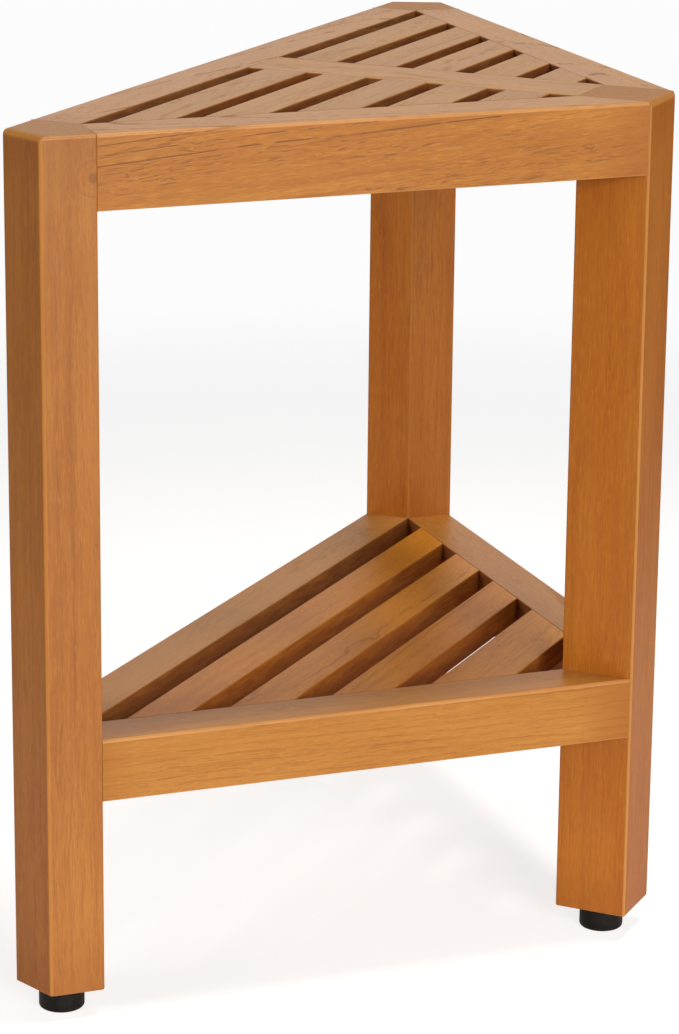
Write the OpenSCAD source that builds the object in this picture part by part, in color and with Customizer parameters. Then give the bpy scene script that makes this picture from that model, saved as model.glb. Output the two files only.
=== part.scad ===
// Teak corner stool: a slatted triangular seat and a slatted shelf on three legs.
// The two equal wall sides meet at a right angle at the back, and the long open side faces -Y.
// Millimetres, +Z up, origin on the floor below the middle of the footprint.

/* [Overall] */
// Length of each wall side, measured to the sharp corners that the chopped corners would have
wall_side = 383; // [340:1:460]
// Height of the seat above the floor with the feet screwed right in
stool_h = 457; // [400:1:520]
// Clear height of the legs above the floor with the feet screwed right in
foot_h = 14; // [10:0.5:20]

/* [Legs] */
// Width of the chopped end face of each acute leg
leg_end_w = 29; // [20:0.5:40]
// Width of the corner post, across its chopped face
post_w = 36.5; // [30:0.5:46]
// How far the post's sharp corners would stand out past the wall faces, before they are rounded
post_proud = 0.5; // [0.1:0.1:1]
// Radius of the upright outer corners of legs and post
corner_r = 1.5; // [0.5:0.25:3]
// Radius that softens the upper edge of the chopped faces
end_r = 3.5; // [1:0.25:5]
// Radius that softens the upper outer edges along the three sides
edge_r = 2; // [0.5:0.25:4]
// Radius that softens the lower outer edges of legs and rails
low_edge_r = 1; // [0.5:0.25:3]

/* [Rails] */
// Thickness of the seat and shelf rails, measured square to their outer faces
rail_t = 27.5; // [24:0.5:30]
// Height of the seat rails
seat_rail_h = 38; // [32:0.5:50]
// Height of the shelf rails
shelf_rail_h = 33; // [28:0.5:42]
// Height of the shelf's top face above the floor
shelf_top = 149.5; // [110:0.5:200]
// Radius that blunts the sharp tip of each wall rail at the corner post
tip_r = 0.6; // [0.4:0.1:1.5]

/* [Seat slats] */
// Width of a seat slat
seat_slat_w = 24.5; // [20:0.5:27]
// Thickness of a seat slat
seat_slat_t = 12; // [10:0.5:16]
// Depth of the last triangular opening, from the fifth slat to the corner post
seat_tip_gap = 15; // [8:0.5:20]
// Width of the cross rail that runs from the long rail to the corner post
cross_w = 38; // [30:0.5:46]
// Thickness of the cross rail
cross_t = 20; // [16:0.5:30]

/* [Shelf slats] */
// Width of the three narrow shelf slats
shelf_slat_w = 24.8; // [20:0.2:27]
// Width of the wide shelf slat next to the corner post
shelf_wide_w = 34; // [26:0.5:40]
// Thickness of a shelf slat
shelf_slat_t = 13.5; // [9:0.5:16]
// Depth of the opening between the wide slat and the corner post
shelf_tip_gap = 18.7; // [8:0.1:24]

/* [Joinery] */
// Length of the tongues on slats and cross rail, square to the rail they enter
tongue_l = 7; // [5:0.25:8]
// Thickness of those tongues
tongue_t = 6; // [4:0.25:7]
// Width of the shoulder at each side of a tongue
shoulder_w = 2.5; // [1.5:0.25:4]
// Diameter of the dowels that join rails and legs
dowel_d = 8; // [6:0.5:9]
// Length of the dowels between rails and acute legs
leg_dowel_l = 36; // [26:1:40]
// Length of the dowels between wall rails and corner post
post_dowel_l = 28; // [20:1:30]
// Clearance left for glue round tongues and dowels
glue_gap = 0.1; // [0.05:0.05:0.3]

/* [Levelling feet] */
// Diameter of a foot pad
pad_d = 23.5; // [18:0.5:28]
// Radius of the pad's lower edge
pad_edge_r = 1.5; // [0.5:0.25:2.5]
// Diameter of the threaded stud
stud_d = 8; // [6:0.5:10]
// Length of stud inside the leg
stud_up = 32; // [28:1:40]
// Depth of the stud's seat in the pad
stud_seat = 9; // [6:0.5:9]
// Outer diameter of the threaded insert in the leg
insert_d = 12; // [11:0.5:14]
// Length of the threaded insert
insert_l = 20; // [14:1:24]
// Play at the end of the stud's hole
stud_end_play = 4; // [2:0.5:8]
// Radial running clearance of the stud in its insert and pad
stud_fit = 0.05; // [0.02:0.01:0.1]
// Gap between the pad and the leg, and between stud and pad
pad_gap = 0.3; // [0.2:0.05:0.5]

/* [Hidden] */

// The footprint is a right-angled triangle with its corners chopped off
half_right = 45;
acute_half = half_right / 2;
root_two = sqrt(2);
apex_y = wall_side / root_two;
foot_depth = apex_y - post_w / 2 + post_proud * root_two;
wall_run = wall_side - post_w / root_two;
leg_reach = rail_t / tan(acute_half);
leg_trim = leg_end_w / 2 / sin(acute_half);
inner_sum = apex_y - rail_t * root_two;
post_in_y = inner_sum - post_w / 2;
front_half = apex_y - leg_reach;

// Heights
seat_low = stool_h - seat_rail_h;
shelf_low = shelf_top - shelf_rail_h;
leg_h = stool_h - foot_h;

// Rows of slats, counted from the long side
seat_slats = 5;
shelf_narrow = 3;
slat_room = post_in_y - rail_t;
seat_gap = (slat_room - seat_slats * seat_slat_w - seat_tip_gap) / seat_slats;
shelf_gap = (slat_room - shelf_narrow * shelf_slat_w - shelf_wide_w - shelf_tip_gap) / (shelf_narrow + 1);

// Places of the feet: on the middle line of each leg
leg_mid = (leg_trim * cos(acute_half) + leg_reach / cos(acute_half)) / 2;
leg_foot_x = apex_y - leg_mid * cos(acute_half);
leg_foot_y = leg_mid * sin(acute_half);
post_foot_y = (post_in_y + foot_depth) / 2;

// Dowels
dowel_rows = 2;
post_dowel_wall = 2;
post_dowel_y = post_in_y + tongue_l + post_dowel_wall + dowel_d / 2;

// Small allowances
stud_hole_play = 1;
pad_top_r = 0.5;
arc_steps = 6;
bite = 1;
round_fn = 64;

function seat_slat_y(row) = rail_t + row * seat_gap + (row - 1) * seat_slat_w;
function shelf_slat_y(row) = rail_t + row * shelf_gap + (row - 1) * shelf_slat_w;
function shelf_slat_width(row) = row > shelf_narrow ? shelf_wide_w : shelf_slat_w;

// Points of the arc that rounds the corner at b, on the way from a to c
function corner_arc(a, b, c, r) = let(
    to_a = (a - b) / norm(a - b),
    to_c = (c - b) / norm(c - b),
    half = acos(to_a * to_c) / 2,
    middle = b + (to_a + to_c) / norm(to_a + to_c) * r / sin(half),
    start = b + to_a * r / tan(half) - middle,
    sweep = 180 - 2 * half
) [for (k = [0:arc_steps]) let(t = sweep * k / arc_steps)
    middle + [start[0] * cos(t) - start[1] * sin(t), start[0] * sin(t) + start[1] * cos(t)]];

// A closed outline, counter-clockwise, whose corners have the radii given
function rounded(points, radii) = [for (k = [0:len(points) - 1])
    let(
        before = points[(k + len(points) - 1) % len(points)],
        after = points[(k + 1) % len(points)],
        arc = radii[k] > 0 ? corner_arc(before, points[k], after, radii[k]) : [points[k]]
    ) each arc];

// Moves the whole stool so that the origin is below the middle of its footprint
module in_place() translate([0, -foot_depth / 2, 0]) children();

// Mirrors a right-hand piece to the left
module left_hand() mirror([1, 0, 0]) children();

// Frame of the right-hand wall face: X runs from the acute corner to the post, Y runs inwards
module on_wall() translate([apex_y, 0, 0]) rotate(180 - half_right) children();

// Everything behind a straight outer face, with the face's top and bottom edges softened
module behind_face(height, top_r) {
    reach = wall_side;
    section = rounded([[0, 0], [reach, 0], [reach, height], [0, height]], [low_edge_r, 0, 0, top_r]);
    translate([reach, 0, 0])
        rotate([90, 0, -90])
        linear_extrude(2 * reach)
        mirror([1, 0, 0])
        polygon(section);
}

// Acute leg on the right: two outer faces, a chopped end face and two inner faces
module acute_leg() {
    apex = [apex_y, 0];
    along_wall = [-1, 1] / root_two;
    into_wall = [-1, -1] / root_two;
    outline = rounded([
        apex + along_wall * leg_trim,
        apex + along_wall * leg_reach,
        [front_half, rail_t],
        [front_half, 0],
        [apex_y - leg_trim, 0]
    ], [corner_r, 0, 0, 0, corner_r]);
    difference() {
        translate([0, 0, foot_h])
            intersection() {
                linear_extrude(leg_h) polygon(outline);
                behind_face(leg_h, edge_r);
                on_wall() behind_face(leg_h, edge_r);
                translate([apex_y, 0, 0])
                    rotate(90 - acute_half)
                    translate([0, leg_trim * cos(acute_half), 0])
                    behind_face(leg_h, end_r);
            }
        foot_hole(leg_foot_x, leg_foot_y);
        seat_leg_dowels(glue_gap);
        shelf_leg_dowels(glue_gap);
    }
}

// Post in the right-angled corner, chopped parallel to the long side
module back_post() {
    outline = rounded([
        [-post_w / 2, post_in_y],
        [post_w / 2, post_in_y],
        [post_w / 2, foot_depth],
        [-post_w / 2, foot_depth]
    ], [0, 0, corner_r, corner_r]);
    difference() {
        translate([0, 0, foot_h])
            intersection() {
                linear_extrude(leg_h) polygon(outline);
                translate([0, foot_depth, 0]) rotate(180) behind_face(leg_h, end_r);
            }
        foot_hole(0, post_foot_y);
        cross_tongue(glue_gap);
        seat_post_dowels(glue_gap);
        left_hand() seat_post_dowels(glue_gap);
        shelf_post_dowels(glue_gap);
        left_hand() shelf_post_dowels(glue_gap);
    }
}

// Hole in a leg's foot for the threaded insert, going on as a clearance hole for the stud
module foot_hole(x, y) {
    translate([x, y, foot_h - bite]) {
        cylinder(h = insert_l + bite, d = insert_d, $fn = round_fn);
        cylinder(h = stud_up + stud_end_play + bite, d = stud_d + stud_hole_play, $fn = round_fn);
    }
}

// Straight rail along the long side
module front_rail(low, height) {
    translate([0, 0, low])
        intersection() {
            linear_extrude(height)
                translate([-front_half, 0])
                square([2 * front_half, rail_t]);
            behind_face(height, edge_r);
        }
}

// Rail along the right-hand wall side, cut at 45 degrees where it meets the post
module wall_rail(low, height) {
    outline = rounded([
        [leg_reach, 0],
        [wall_run, 0],
        [wall_run - rail_t, rail_t],
        [leg_reach, rail_t]
    ], [0, tip_r, 0, 0]);
    translate([0, 0, low])
        on_wall()
        intersection() {
            linear_extrude(height) polygon(outline);
            behind_face(height, edge_r);
        }
}

// Rail from the long rail to the post, flush with the seat, its far corners cut to clear the wall rails
module cross_rail() {
    side = inner_sum - rail_t;
    translate([0, 0, stool_h - cross_t])
        intersection() {
            translate([-cross_w / 2, rail_t, 0])
                cube([cross_w, slat_room, cross_t]);
            linear_extrude(cross_t)
                polygon([[-side, rail_t], [side, rail_t], [0, inner_sum]]);
        }
    cross_tongue(0);
}

// Stub tongues at both ends of the cross rail, or the mortises for them
module cross_tongue(clear) {
    width = cross_w - 2 * shoulder_w;
    low = stool_h - (cross_t + tongue_t) / 2;
    translate([-width / 2 - clear, rail_t - tongue_l - clear, low - clear])
        cube([width + 2 * clear, slat_room + 2 * (tongue_l + clear), tongue_t + 2 * clear]);
}

// Plan of a slat between x_in and the wall rail's inner face, lengthened by the reach given
module slat_plan(y_low, y_high, x_in, reach) {
    x_out = inner_sum + reach * root_two;
    polygon([[x_in, y_low], [x_out - y_low, y_low], [x_out - y_high, y_high], [x_in, y_high]]);
}

// Right-hand half of a seat slat, from the cross rail to the wall rail
module seat_half_slat(row) {
    y = seat_slat_y(row);
    translate([0, 0, stool_h - seat_slat_t])
        linear_extrude(seat_slat_t)
        slat_plan(y, y + seat_slat_w, cross_w / 2, 0);
    seat_tongue(row, 0);
}

// Tongues at both ends of that slat, or the mortises for them
module seat_tongue(row, clear) {
    y = seat_slat_y(row) + shoulder_w - clear;
    width = seat_slat_w - 2 * shoulder_w + 2 * clear;
    translate([0, 0, stool_h - (seat_slat_t + tongue_t) / 2 - clear])
        linear_extrude(tongue_t + 2 * clear)
        slat_plan(y, y + width, cross_w / 2 - tongue_l - clear, tongue_l + clear);
}

// Shelf slat across the whole shelf
module shelf_slat(row) {
    y = shelf_slat_y(row);
    translate([0, 0, shelf_top - shelf_slat_t])
        linear_extrude(shelf_slat_t)
        whole_plan(y, y + shelf_slat_width(row), 0);
    shelf_tongue(row, 0);
}

// Tongues at both ends of a shelf slat, or the mortises for them
module shelf_tongue(row, clear) {
    y = shelf_slat_y(row) + shoulder_w - clear;
    width = shelf_slat_width(row) - 2 * shoulder_w + 2 * clear;
    translate([0, 0, shelf_top - (shelf_slat_t + tongue_t) / 2 - clear])
        linear_extrude(tongue_t + 2 * clear)
        whole_plan(y, y + width, tongue_l + clear);
}

// Plan of a slat from one wall rail to the other
module whole_plan(y_low, y_high, reach) {
    slat_plan(y_low, y_high, 0, reach);
    mirror([1, 0]) slat_plan(y_low, y_high, 0, reach);
}

// Height of a row of dowels in a rail, with the rows spread evenly over the rail's height
function dowel_z(row, low, height) = low + height * (2 * row - 1) / (2 * dowel_rows);

// Dowels at the right-hand acute leg, seen from a rail's end: along the long rail and the wall rail
module leg_dowels(low, height, clear) {
    for (row = [1:dowel_rows]) {
        z = dowel_z(row, low, height);
        translate([front_half, rail_t / 2, z]) dowel(leg_dowel_l, clear);
        on_wall() translate([leg_reach, rail_t / 2, z]) dowel(leg_dowel_l, clear);
    }
}

// Dowels between the right-hand wall rail and the post
module post_dowels(low, height, clear) {
    for (row = [1:dowel_rows]) {
        z = dowel_z(row, low, height);
        translate([post_w / 2, post_dowel_y, z]) dowel(post_dowel_l, clear);
    }
}

// One dowel along X with its middle at the joint, or the hole for it
module dowel(length, clear) {
    rotate([0, 90, 0])
        cylinder(h = length + 2 * clear, d = dowel_d + 2 * clear, center = true, $fn = round_fn);
}

module seat_leg_dowels(clear) leg_dowels(seat_low, seat_rail_h, clear);
module shelf_leg_dowels(clear) leg_dowels(shelf_low, shelf_rail_h, clear);
module seat_post_dowels(clear) post_dowels(seat_low, seat_rail_h, clear);
module shelf_post_dowels(clear) post_dowels(shelf_low, shelf_rail_h, clear);

// Long rail of the seat, with its mortise for the cross rail
module seat_long_rail() {
    difference() {
        front_rail(seat_low, seat_rail_h);
        cross_tongue(glue_gap);
        seat_leg_dowels(glue_gap);
        left_hand() seat_leg_dowels(glue_gap);
    }
}

// Right-hand wall rail of the seat, with a mortise for each slat
module seat_wall_rail() {
    difference() {
        wall_rail(seat_low, seat_rail_h);
        for (row = [1:seat_slats]) seat_tongue(row, glue_gap);
        seat_leg_dowels(glue_gap);
        seat_post_dowels(glue_gap);
    }
}

// Cross rail with the mortises of the slats at both sides
module seat_middle_rail() {
    difference() {
        cross_rail();
        for (row = [1:seat_slats]) {
            seat_tongue(row, glue_gap);
            left_hand() seat_tongue(row, glue_gap);
        }
    }
}

// Long rail of the shelf
module shelf_long_rail() {
    difference() {
        front_rail(shelf_low, shelf_rail_h);
        shelf_leg_dowels(glue_gap);
        left_hand() shelf_leg_dowels(glue_gap);
    }
}

// Right-hand wall rail of the shelf, with a mortise for each slat
module shelf_wall_rail() {
    difference() {
        wall_rail(shelf_low, shelf_rail_h);
        for (row = [1:shelf_narrow + 1]) shelf_tongue(row, glue_gap);
        shelf_leg_dowels(glue_gap);
        shelf_post_dowels(glue_gap);
    }
}

// Brass insert in the end grain of a leg, with a plain bore in place of its thread
module insert(x, y) {
    translate([x, y, foot_h])
        difference() {
            cylinder(h = insert_l, d = insert_d, $fn = round_fn);
            translate([0, 0, -bite])
                cylinder(h = insert_l + 2 * bite, r = stud_d / 2 + stud_fit, $fn = round_fn);
        }
}

// Stud of a levelling foot, a plain rod in place of its thread
module stud(x, y) {
    low = foot_h - stud_seat;
    translate([x, y, low])
        cylinder(h = foot_h + stud_up - low, d = stud_d, $fn = round_fn);
}

// Pad of a levelling foot, with a blind seat for the stud
module pad(x, y) {
    top = foot_h - pad_gap;
    half = rounded([[0, 0], [pad_d / 2, 0], [pad_d / 2, top], [0, top]], [0, pad_edge_r, pad_top_r, 0]);
    translate([x, y, 0])
        difference() {
            rotate_extrude($fn = round_fn) polygon(half);
            translate([0, 0, top - stud_seat])
                cylinder(h = stud_seat + bite, r = stud_d / 2 + stud_fit, $fn = round_fn);
        }
}

module leg_left() color("peru") in_place() left_hand() acute_leg();
module leg_right() color("peru") in_place() acute_leg();
module corner_post() color("chocolate") in_place() back_post();
module seat_front_rail() color("sandybrown") in_place() seat_long_rail();
module seat_left_rail() color("sandybrown") in_place() left_hand() seat_wall_rail();
module seat_right_rail() color("sandybrown") in_place() seat_wall_rail();
module seat_cross_rail() color("burlywood") in_place() seat_middle_rail();
module seat_slat_left(row) color("tan") in_place() left_hand() seat_half_slat(row);
module seat_slat_right(row) color("tan") in_place() seat_half_slat(row);
module shelf_front_rail() color("sandybrown") in_place() shelf_long_rail();
module shelf_left_rail() color("sandybrown") in_place() left_hand() shelf_wall_rail();
module shelf_right_rail() color("sandybrown") in_place() shelf_wall_rail();
module shelf_slat_across(row) color("tan") in_place() shelf_slat(row);

// Twelve beech dowels of the seat, and twelve of the shelf
module seat_dowels() color("wheat") in_place() {
    seat_leg_dowels(0);
    seat_post_dowels(0);
    left_hand() seat_leg_dowels(0);
    left_hand() seat_post_dowels(0);
}

module shelf_dowels() color("wheat") in_place() {
    shelf_leg_dowels(0);
    shelf_post_dowels(0);
    left_hand() shelf_leg_dowels(0);
    left_hand() shelf_post_dowels(0);
}

module foot_inserts() color("goldenrod") in_place() {
    insert(-leg_foot_x, leg_foot_y);
    insert(leg_foot_x, leg_foot_y);
    insert(0, post_foot_y);
}

module foot_stud_left() color("silver") in_place() stud(-leg_foot_x, leg_foot_y);
module foot_stud_right() color("silver") in_place() stud(leg_foot_x, leg_foot_y);
module foot_stud_corner() color("silver") in_place() stud(0, post_foot_y);
module foot_pad_left() color("dimgray") in_place() pad(-leg_foot_x, leg_foot_y);
module foot_pad_right() color("dimgray") in_place() pad(leg_foot_x, leg_foot_y);
module foot_pad_corner() color("dimgray") in_place() pad(0, post_foot_y);

leg_left();
leg_right();
corner_post();
seat_front_rail();
seat_left_rail();
seat_right_rail();
seat_cross_rail();
seat_slat_left(1);  // seat_slat_1_left
seat_slat_left(2);  // seat_slat_2_left
seat_slat_left(3);  // seat_slat_3_left
seat_slat_left(4);  // seat_slat_4_left
seat_slat_left(5);  // seat_slat_5_left
seat_slat_right(1);  // seat_slat_1_right
seat_slat_right(2);  // seat_slat_2_right
seat_slat_right(3);  // seat_slat_3_right
seat_slat_right(4);  // seat_slat_4_right
seat_slat_right(5);  // seat_slat_5_right
shelf_front_rail();
shelf_left_rail();
shelf_right_rail();
shelf_slat_across(1);  // shelf_slat_1
shelf_slat_across(2);  // shelf_slat_2
shelf_slat_across(3);  // shelf_slat_3
shelf_slat_across(4);  // shelf_slat_4
seat_dowels();
shelf_dowels();
foot_inserts();
foot_stud_left();
foot_stud_right();
foot_stud_corner();
foot_pad_left();
foot_pad_right();
foot_pad_corner();
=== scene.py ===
import bpy
import bmesh
from math import cos, pi, radians, sin, sqrt, tan
from mathutils import Matrix, Vector


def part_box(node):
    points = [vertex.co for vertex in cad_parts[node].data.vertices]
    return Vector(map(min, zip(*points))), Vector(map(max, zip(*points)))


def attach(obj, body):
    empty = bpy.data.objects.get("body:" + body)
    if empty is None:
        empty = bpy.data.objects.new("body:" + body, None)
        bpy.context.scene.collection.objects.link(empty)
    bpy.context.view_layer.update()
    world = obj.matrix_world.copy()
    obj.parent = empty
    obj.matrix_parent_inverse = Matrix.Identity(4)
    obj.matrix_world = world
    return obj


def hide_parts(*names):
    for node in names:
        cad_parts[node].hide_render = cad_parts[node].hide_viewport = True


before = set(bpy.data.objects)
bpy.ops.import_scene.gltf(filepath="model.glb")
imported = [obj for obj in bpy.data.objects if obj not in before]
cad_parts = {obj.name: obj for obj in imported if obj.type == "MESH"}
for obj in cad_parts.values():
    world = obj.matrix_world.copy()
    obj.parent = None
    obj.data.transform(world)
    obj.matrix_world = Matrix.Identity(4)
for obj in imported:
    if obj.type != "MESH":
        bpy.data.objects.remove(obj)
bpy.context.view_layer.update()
scene = bpy.context.scene

# Camera: the photograph's place and framing, found from the stool's own edges and slot corners.
# It stands in front of the right wall side, a little above the seat.
camera_place = (1.755092, 0.742556, 0.780640)
camera_heading = radians(204.3577)
camera_pitch = radians(-16.48435)
camera_roll = radians(0.57445)
camera = bpy.data.objects.new("camera", bpy.data.cameras.new("camera"))
camera.data.sensor_fit = "VERTICAL"
camera.data.sensor_height = 36
camera.data.lens = 128.014
turn = Matrix.Rotation(camera_heading - pi / 2, 4, "Z") @ Matrix.Rotation(pi / 2 + camera_pitch, 4, "X")
camera.matrix_world = Matrix.Translation(camera_place) @ turn @ Matrix.Rotation(camera_roll, 4, "Z")
scene.collection.objects.link(camera)
scene.camera = camera

# Seat rails: three planed teak boards on edge round the seat, dowelled into the legs.
# Their outer edges are rounded over, and the wall rails are cut at 45 degrees where they meet the post.
wall_side = 0.383
leg_end_width = 0.029
half_corner = radians(22.5)
post_width = 0.0365
rail_thick = 0.0275
seat_top = 0.457
seat_rail_height = 0.038
post_proud = 0.0005
largest_round = 0.0035
round_steps = 4
upper_round = 0.002
lower_round = 0.001
tip_round = 0.0006
slot_edge = 0.0006
hairline = 0.00018

# the long side lies along X, and the wall sides run at 45 degrees from its ends to the post. On the inner
# face of the right wall rail, a point's places across and in from the long side add up to inner_sum.
apex = wall_side / sqrt(2)
depth = apex - post_width / 2 + post_proud * sqrt(2)
leg_reach = rail_thick / tan(half_corner)
leg_trim = leg_end_width / 2 / sin(half_corner)
front_half = apex - leg_reach
wall_run = wall_side - post_width / sqrt(2)
inner_sum = apex - rail_thick * sqrt(2)
post_inner = inner_sum - post_width / 2
along_front = Vector((1, 0, 0))
along_right_wall = Vector((-1, 1, 0)).normalized()
along_left_wall = Vector((1, 1, 0)).normalized()
to_post = Vector((0, 1, 0))
upwards = Vector((0, 0, 1))


def put(tree, socket, value):
    """Gives a node's input a number, a colour or another node's output."""
    if isinstance(value, bpy.types.NodeSocket):
        tree.links.new(value, socket)
    else:
        socket.default_value = value


def node(tree, kind, inputs=(), **settings):
    """A node with its settings, and its inputs given by name or by number."""
    made = tree.nodes.new(kind)
    for name, value in settings.items():
        setattr(made, name, value)
    for name, value in dict(inputs).items():
        put(tree, made.inputs[name], value)
    return made


def calc(tree, operation, *values, clamp=False):
    """One step of arithmetic on numbers or outputs."""
    return node(tree, "ShaderNodeMath", enumerate(values), operation=operation, use_clamp=clamp).outputs[0]


def times(tree, first, second):
    """A product."""
    return calc(tree, "MULTIPLY", first, second)


def plus(tree, first, second):
    """A sum."""
    return calc(tree, "ADD", first, second)


def scaled(tree, value, factor, offset):
    """A value times a factor, with an offset added."""
    return calc(tree, "MULTIPLY_ADD", value, factor, offset)


def vector(tree, operation, *values):
    """One step of arithmetic on vectors. A length or a dot product comes out as a number."""
    answer = "Value" if operation in ("LENGTH", "DOT_PRODUCT") else "Vector"
    return node(tree, "ShaderNodeVectorMath", enumerate(values), operation=operation).outputs[answer]


def parts_of(tree, value):
    """The three numbers of a vector."""
    return node(tree, "ShaderNodeSeparateXYZ", {0: value}).outputs


def made_of(tree, **parts):
    """A vector of the numbers given for X, Y and Z."""
    return node(tree, "ShaderNodeCombineXYZ", parts).outputs[0]


def spread(tree, value, low, high, to_low=0.0, to_high=1.0):
    """Takes a value from one range to another along a soft S curve, held at both ends."""
    ranged = node(tree, "ShaderNodeMapRange", {"Value": value, "From Min": low, "From Max": high,
                                               "To Min": to_low, "To Max": to_high},
                  interpolation_type="SMOOTHSTEP")
    return ranged.outputs["Result"]


def between(tree, factor, below, above):
    """Blends two numbers."""
    mixed = node(tree, "ShaderNodeMix", {"Factor": factor, 2: below, 3: above}, data_type="FLOAT")
    return mixed.outputs[0]


def tint(tree, factor, below, above):
    """Blends two colours."""
    mixed = node(tree, "ShaderNodeMix", {"Factor": factor, 6: below, 7: above}, data_type="RGBA")
    return mixed.outputs[2]


def noise(tree, place, scale, detail, roughness=0.5):
    """Plain noise, with this many patterns per unit of the place."""
    cloud = node(tree, "ShaderNodeTexNoise", {"Vector": place, "Scale": scale, "Detail": detail,
                                              "Roughness": roughness})
    return cloud.outputs["Fac"]


def stretched(tree, place, along, across, detail=2.0, roughness=0.5):
    """Noise drawn out along the grain; the scales are patterns per metre."""
    return noise(tree, vector(tree, "MULTIPLY", place, (along, across, across)), 1.0, detail, roughness)


def lot(tree, number):
    """A fixed value and colour drawn for each number."""
    return node(tree, "ShaderNodeTexWhiteNoise", {"W": number}, noise_dimensions="1D").outputs


def make_wood_group():
    """Teak as a solid block, in the board's own frame. Growth rings lie round a heart outside the board,
    with rows of open pores along them, loose pores in crowds, fine threads, pale flecks, and a knot where
    a board has one. Oil soaks deeper into the ends, which are also darkened as painted shade where they
    meet the legs. Sawn sides are darker and blotchy, partly as oil soaks in and partly as painted shade in
    the slots and on the legs' chopped ends. End grain and upper faces are tinted a drier tan, partly by
    weathering and partly as a painted sheen and shade on the tops, and rounded edges are lightened, partly
    by rubbing and partly as a painted highlight. The board's number picks its own part of the tree."""
    tree = bpy.data.node_groups.new("wood figure", "ShaderNodeTree")
    sockets = tree.interface
    white = (1, 1, 1, 1)
    nowhere = (9, 9, 9)
    # several of these inputs also paint light: the drier tan of upper faces is partly a painted sheen and
    # shade, the pale colour of edges partly a painted highlight, and the darkening of ends partly painted
    # shade
    for name, kind, value in (
            ("Grain", "Vector", (0, 0, 0)), ("Board", "Float", 0.0), ("Edge", "Float", 0.0),
            ("Cut", "Vector", (0, 0, 0)), ("Light", "Color", white), ("Middle", "Color", white),
            ("Dark", "Color", white), ("Pore", "Color", white), ("Dry", "Color", (0.46, 0.235, 0.055, 1)),
            ("Ring Width", "Float", 0.0045), ("Ring Strength", "Float", 0.3),
            ("Line Strength", "Float", 0.8), ("Pore Amount", "Float", 1.0), ("Gloss", "Float", 0.43),
            ("Slope", "Float", 0.0), ("Wear", "Float", 0.4), ("Worn", "Color", (0.72, 0.34, 0.10, 1)),
            ("Reach", "Float", 9.0), ("Soak", "Float", 0.3), ("Sway", "Float", 1.0),
            ("Knot", "Vector", nowhere), ("Knot Reach", "Float", 0.001)):
        sockets.new_socket(name, in_out="INPUT", socket_type=f"NodeSocket{kind}").default_value = value
    for name, kind in (("Color", "Color"), ("Roughness", "Float"), ("Height", "Float")):
        sockets.new_socket(name, in_out="OUTPUT", socket_type=f"NodeSocket{kind}")
    given = tree.nodes.new("NodeGroupInput").outputs
    chance = lot(tree, given["Board"])["Color"]
    luck = node(tree, "ShaderNodeSeparateColor", {0: chance}).outputs
    shift = vector(tree, "MULTIPLY", chance, (7, 5, 3))
    cut = parts_of(tree, given["Cut"])
    end_cut, sawn_and_shaded_side, facing_up = cut["X"], cut["Y"], cut["Z"]

    # the grain runs a little across some boards, and waves gently
    parts = parts_of(tree, given["Grain"])
    climb = times(tree, times(tree, parts["X"], given["Slope"]), -1.0)
    sheared = vector(tree, "ADD", given["Grain"], made_of(tree, Z=climb))
    still = vector(tree, "ADD", sheared, shift)
    crowd = spread(tree, stretched(tree, still, 8, 55, 2), 0.46, 0.60)
    sway = scaled(tree, stretched(tree, still, 22, 50, 1), 0.003, -0.0015)
    ripple = scaled(tree, stretched(tree, still, 60, 130, 1), 0.004, -0.002)
    sway = times(tree, plus(tree, sway, times(tree, ripple, crowd)), given["Sway"])
    swayed = made_of(tree, Y=sway, Z=sway)
    grain = vector(tree, "ADD", sheared, swayed)
    block = vector(tree, "ADD", still, swayed)

    # growth rings: distance from a heart that lies outside the board and leans a little along it
    parts = parts_of(tree, grain)
    lean = times(tree, parts["X"], scaled(tree, luck[0], 0.05, -0.025))
    wave = scaled(tree, stretched(tree, block, 5, 18, 1), 0.010, -0.005)
    aside = plus(tree, plus(tree, parts["Y"], lean), scaled(tree, luck[1], 0.10, -0.05))
    deep = plus(tree, plus(tree, parts["Z"], wave), scaled(tree, luck[2], 0.07, 0.025))
    around = calc(tree, "SQRT", plus(tree, times(tree, aside, aside), times(tree, deep, deep)))

    # a knot pulls the rings round itself, longer along the grain than across it
    off = vector(tree, "SUBTRACT", sheared, given["Knot"])
    oval = vector(tree, "MULTIPLY", off, (0.64, 1.0, 0.05))
    ragged = scaled(tree, stretched(tree, still, 60, 110, 2), 0.003, -0.0015)
    knot_far = plus(tree, vector(tree, "LENGTH", oval), ragged)
    knot_share = calc(tree, "DIVIDE", knot_far, given["Knot Reach"])
    knot_near = spread(tree, knot_share, 0.7, 1.2, 1.0, 0.0)
    heartwood = spread(tree, knot_share, 0.12, 0.3, 1.0, 0.0)
    bent = between(tree, knot_near, around, times(tree, knot_far, 2.2))
    ring = calc(tree, "DIVIDE", bent, given["Ring Width"])
    step = calc(tree, "FRACT", ring)
    late = times(tree, spread(tree, step, 0.3, 0.92), spread(tree, step, 0.92, 1.0, 1.0, 0.0))
    year = plus(tree, calc(tree, "FLOOR", ring), times(tree, given["Board"], 37.0))
    lucky_year = lot(tree, year)["Value"]
    strong_year = scaled(tree, knot_near, 1.2, spread(tree, lucky_year, 0.5, 1.0, 0.15, 1.0))

    # long colour streaks, threads and the fibre
    broad = stretched(tree, block, 6, 26, 2)
    streak = stretched(tree, block, 4, 170, 3, 0.6)
    thread = stretched(tree, block, 22, 620, 2, 0.6)
    fibre = stretched(tree, block, 150, 1500, 2, 0.6)

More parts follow.
